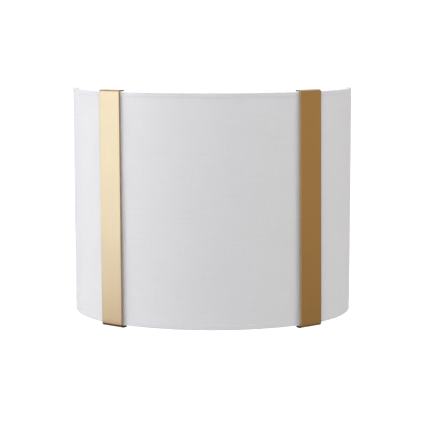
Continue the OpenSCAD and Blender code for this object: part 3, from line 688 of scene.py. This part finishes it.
body_profile = (
    [(0, BODY_LOW), (HOLDER_R - CHAMFER, BODY_LOW), (HOLDER_R, BODY_LOW + CHAMFER)]
    + grooved(HOLDER_R, BODY_LOW + 3 * MM, BODY_LOW + 21 * MM, 9, GROOVE_DEPTH)
    + [(HOLDER_R, BODY_TOP - 5 * MM), (HOLDER_R + 0.4 * MM, BODY_TOP - 4 * MM)]
    + arc_points((LIP_R - SMALL_EDGE_R, BODY_TOP - 4 * MM + SMALL_EDGE_R), SMALL_EDGE_R, -90, 0, 6)
    + arc_points((LIP_R - LIP_EDGE_R, BODY_TOP - LIP_EDGE_R), LIP_EDGE_R, 0, 90, 8)
    + arc_points((MOUTH_R + SMALL_EDGE_R, BODY_TOP - SMALL_EDGE_R), SMALL_EDGE_R, 90, 180, 6)
    + [(MOUTH_R, FLOOR_Z), (0, FLOOR_Z)])
cap_profile = (
    [(0, HOLDER_LOW), (STEM_HOLE_R + 2 * MM, HOLDER_LOW)]
    + arc_points((HOLDER_R - CAP_EDGE_R, HOLDER_LOW + CAP_EDGE_R), CAP_EDGE_R, -90, 0, 10)
    + grooved(HOLDER_R, HOLDER_LOW + 5 * MM, BODY_LOW - 1.2 * MM, 3, GROOVE_DEPTH)
    + [(HOLDER_R, BODY_LOW - 0.6 * MM), (HOLDER_R - CHAMFER, BODY_LOW - SEAT), (0, BODY_LOW - SEAT)])

for side, word in ((-1, "left"), (1, "right")):
    axis = (side * BULB_X, BULB_Y)
    for name, profile, body, slot, material, node, steps in (
            ("frosted_bulb", bulb_profile, word + "_bulb", "bulb_glass", frosted_glass, "bulb_glass", 96),
            ("ribbed_holder", body_profile, "fixture", "phenolic", phenolic, "holder_body", 72),
            ("holder_base", cap_profile, "fixture", "phenolic", phenolic, "holder_cap", 72)):
        points, faces = turned(profile, axis, steps)
        new_piece(word + "_" + name, points, faces, body, material, [word + "_" + node])


def fluted_cap(x, y, top):
    """Twist-on connector: rings of a tapered cone whose radius swells in twelve round flutes, fading out
    at the mouth, which is a straight rim round a blind hole."""
    length, end_l, steps = 17 * MM, 0.6 * MM, 96
    end_r, tip_r, mouth_r, bore_r, flute_depth = 2.2 * MM, 3.12 * MM, 5.2 * MM, 2.55 * MM, 0.35 * MM
    angle = np.arange(steps) * TAU / steps
    rise = np.linspace(0, 1, 18)
    cone = tip_r + (mouth_r - tip_r) * rise
    flute = flute_depth * np.sin(np.clip(rise * 1.15, 0, 1) * math.pi) ** 0.5
    outer = cone[:, None] - flute[:, None] * (0.5 + 0.5 * np.cos(12 * angle))
    bore = np.array([bore_r, bore_r, bore_r - 0.05 * MM])
    radius = np.concatenate([[np.full(steps, end_r)], outer, np.repeat(bore[:, None], steps, 1)])
    height = top - length + np.concatenate([
        [0], end_l + rise * (length - end_l), [length, length - 5 * MM, length - 9 * MM]])
    rings = np.stack([x + radius * np.cos(angle), y + radius * np.sin(angle),
                      np.broadcast_to(height[:, None], radius.shape)], -1)
    points, faces = closed_sweep(rings)
    return points, outward(points, faces)


LIVE_PLACE = (14 * MM, -7 * MM, -75 * MM)
NEUTRAL_PLACE = (-14 * MM, -11 * MM, -75 * MM)
GROUND_PLACE = (-30 * MM, -7 * MM, -26 * MM)
all_points, all_faces = [], []
for place in (LIVE_PLACE, NEUTRAL_PLACE, GROUND_PLACE):
    points, faces = fluted_cap(*place)
    start = sum(map(len, all_points))
    all_points.append(points)
    all_faces += [[int(v) + start for v in face] for face in faces]
new_piece("fluted_connectors", np.concatenate(all_points), all_faces, "fixture",
          orange_plastic, ["wire_connectors"])


# The rest of the CAD pieces and their finishes

node_finishes = {
    "top_ring": powder_white,
    "bottom_ring": powder_white,
    "left_post": powder_white,
    "right_post": powder_white,
    "hanger_bar": powder_white,
    "steady_bar": powder_white,
    "crossbar": zinc,
    "plate_studs": zinc,
    "stud_locknuts": zinc,
    "ground_screw": green_screw,
    "hanger_screws": turned_brass,
    "hanger_nuts": zinc,
    "left_arm": turned_brass,
    "right_arm": turned_brass,
    "arm_collars": turned_brass,
    "arm_nuts": zinc,
    "live_leads": black_lead,
    "neutral_leads": white_lead,
    "ground_lead": green_lead,
    "upper_cap_nut": turned_brass,
    "lower_cap_nut": turned_brass,
}
for word in ("left_", "right_"):
    node_finishes.update({
        word + "holder_shell": contact_brass,
        word + "holder_contact": contact_brass,
        word + "bulb_screw_cap": nickel,
        word + "bulb_insulator": vitrite,
        word + "bulb_tip": nickel,
        word + "bulb_stem": stem_glass,
        word + "bulb_filament": phosphor,
    })
for name, material in node_finishes.items():
    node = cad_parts[name]
    for slot in node.material_slots:
        slot.material = material


# The studio

MIDDLE = np.array([0, -0.06, 0])


def area_light(name, place, size, watts, colour=(1, 1, 1)):
    """A soft box that faces the middle of the lamp and lights its matt surfaces."""
    data = bpy.data.lights.new(name, "AREA")
    data.shape = "RECTANGLE"
    data.size, data.size_y = size
    data.energy = watts
    data.color = colour
    lamp = bpy.data.objects.new(name, data)
    away = np.array(place) - MIDDLE
    away /= np.linalg.norm(away)
    side = np.cross([0, 0, 1], away)
    side /= np.linalg.norm(side)
    up = np.cross(away, side)
    lamp.matrix_world = Matrix.Translation(place) @ Matrix(np.stack([side, up, away], 1).tolist()).to_4x4()
    lamp.visible_camera = False
    lamp.visible_glossy = False
    bpy.context.scene.collection.objects.link(lamp)


area_light("left_key", (-2.1, -0.35, 0.5), (1.2, 1.4), 16.1, (0.99, 0.99, 1.02))
area_light("left_front_key", (-1.5, -1.9, 0.6), (1.4, 1.4), 7.0)
area_light("left_high_light", (-1.2, -0.6, 1.2), (0.6, 0.6), 3.2)
area_light("front_high_light", (-0.3, -0.9, 1.2), (0.6, 0.5), 3.2)
area_light("right_fill", (1.9, -0.4, 0.9), (1.2, 1.6), 14.2, (1, 0.98, 0.96))
area_light("right_high_light", (1.3, -0.5, 1.3), (0.6, 0.6), 0.6)
area_light("top_light", (0, -0.9, 2.0), (2.0, 1.6), 13.4)
area_light("top_back_light", (0, 0.6, 2.0), (2.0, 1.4), 7.5)


def reflector(name, corners, colour, strength):
    """A flat card that shows in the brass alone: it neither lights the lamp, nor shades it, nor is seen."""
    mesh = bpy.data.meshes.new(name)
    mesh.from_pydata(corners, [], [(0, 1, 2, 3)])
    card = bpy.data.objects.new(name, mesh)
    f = Finish(name)
    glow = f.node("ShaderNodeEmission", {}, {"Color": (*colour, 1), "Strength": strength})
    mesh.materials.append(f.surface(glow))
    card.visible_camera = card.visible_diffuse = card.visible_transmission = card.visible_shadow = False
    bpy.context.scene.collection.objects.link(card)


def upright_card(name, x, y, low, high, colour, strength):
    """A reflector that stands along Y beside the lamp."""
    reflector(name, [(x, y[0], low), (x, y[1], low), (x, y[1], high), (x, y[0], high)], colour, strength)


def level_card(name, x, y, height, colour, strength):
    """A reflector that lies flat above or below the lamp."""
    corners = [(x[0], y[0], height), (x[1], y[0], height), (x[1], y[1], height), (x[0], y[1], height)]
    reflector(name, corners, colour, strength)


# How far the cards stand out sideways and to the front, and where the lit ones end beside the lamp
ASIDE, AHEAD, BESIDE = 1.4, -1.9, 0.1
FLOOR_LEVEL, CEILING_LEVEL = -0.9, 1.3
SHADOW_TONE = (1, 0.8, 0.6)
RIGHT_TONE = (1, 0.78, 0.51)
front_part, rear_part = (AHEAD, BESIDE), (BESIDE, 1.5)
upright_card("left_card", -ASIDE, front_part, -0.4, CEILING_LEVEL, (0.52, 0.665, 1), 2.97)
upright_card("left_low_flag", -ASIDE, front_part, -0.57, -0.4, (1, 0.6, 0.15), 0.65)
upright_card("left_foot_flag", -ASIDE, front_part, FLOOR_LEVEL, -0.57, SHADOW_TONE, 0.06)
upright_card("left_rear_flag", -ASIDE, rear_part, FLOOR_LEVEL, CEILING_LEVEL, SHADOW_TONE, 0.015)
upright_card("right_flag", ASIDE, front_part, -0.35, CEILING_LEVEL, RIGHT_TONE, 0.52)
upright_card("right_low_flag", ASIDE, front_part, FLOOR_LEVEL, -0.35, RIGHT_TONE, 0.34)
upright_card("right_rear_flag", ASIDE, rear_part, FLOOR_LEVEL, CEILING_LEVEL, SHADOW_TONE, 0.015)
reflector("front_flag", [(-ASIDE, AHEAD, FLOOR_LEVEL), (ASIDE, AHEAD, FLOOR_LEVEL),
                         (ASIDE, AHEAD, CEILING_LEVEL), (-ASIDE, AHEAD, CEILING_LEVEL)], (1, 0.9, 0.8), 0.4)
level_card("ceiling_flag", (-ASIDE, ASIDE), (AHEAD, 0.6), CEILING_LEVEL, (0.7, 0.8, 1), 0.6)
level_card("left_floor_flag", (-ASIDE, 0), (-2.4, 0.6), FLOOR_LEVEL + 0.01, SHADOW_TONE, 0.08)
level_card("right_floor_flag", (0, ASIDE), (-2.4, 0.6), FLOOR_LEVEL + 0.01, SHADOW_TONE, 0.17)

WHITE = (1, 1, 1, 1)
world = bpy.data.worlds.new("studio")
bpy.context.scene.world = world
world.use_nodes = True
sky = Nodes(world.node_tree)
lit = sky.node("ShaderNodeBackground", {}, {"Color": WHITE, "Strength": 0.3})
white = sky.node("ShaderNodeBackground", {}, {"Color": WHITE, "Strength": 1})
choice = sky.node("ShaderNodeMixShader", {}, {"Fac": sky.seen(), 1: lit, 2: white})
sky.node("ShaderNodeOutputWorld", {}, {"Surface": choice})

# The floor: plain for the light, and as white as the ground behind it where it is seen
FLOOR_REACH = 30
floor_mesh = bpy.data.meshes.new("floor")
floor_mesh.from_pydata([(x * FLOOR_REACH, y * FLOOR_REACH, FLOOR_LEVEL)
                        for x, y in ((-1, -1), (1, -1), (1, 1), (-1, 1))], [], [(0, 1, 2, 3)])
floor = bpy.data.objects.new("floor", floor_mesh)
bpy.context.scene.collection.objects.link(floor)
f = Finish("pale_floor")
plain = f.node("ShaderNodeBsdfDiffuse", {}, {"Color": (0.9, 0.9, 0.9, 1)})
glow = f.node("ShaderNodeEmission", {}, {"Color": WHITE, "Strength": 0.95})
summed = f.node("ShaderNodeAddShader", {}, {0: plain, 1: glow})
floor_mesh.materials.append(f.surface(f.node("ShaderNodeMixShader", {}, {0: f.seen(), 1: plain, 2: summed})))

# The camera, placed where the photograph's outline says it stood
SENSOR_W = 36
FOCAL_PX, FRAME_PX = 1338, 425
CAMERA_PLACE = (27.5 * MM, -1456.2 * MM, 190.6 * MM)
camera_data = bpy.data.cameras.new("camera")
camera_data.sensor_width = SENSOR_W
camera_data.lens = SENSOR_W * FOCAL_PX / FRAME_PX
camera_data.shift_y = -0.0767
camera_data.clip_start = 0.05
camera_data.clip_end = 100
camera = bpy.data.objects.new("camera", camera_data)
YAW, PITCH, ROLL = 0.0188, 0.1174, -0.0017
ahead = np.array([-math.sin(YAW) * math.cos(PITCH), math.cos(YAW) * math.cos(PITCH), -math.sin(PITCH)])
right = np.cross(ahead, [0, 0, 1])
right /= np.linalg.norm(right)
up = np.cross(right, ahead)
camera.matrix_world = (Matrix.Translation(CAMERA_PLACE)
                       @ Matrix(np.stack([right, up, -ahead], 1).tolist()).to_4x4()
                       @ Matrix.Rotation(ROLL, 4, "Z"))
bpy.context.scene.collection.objects.link(camera)
bpy.context.scene.camera = camera
bpy.context.scene.view_settings.view_transform = "Standard"
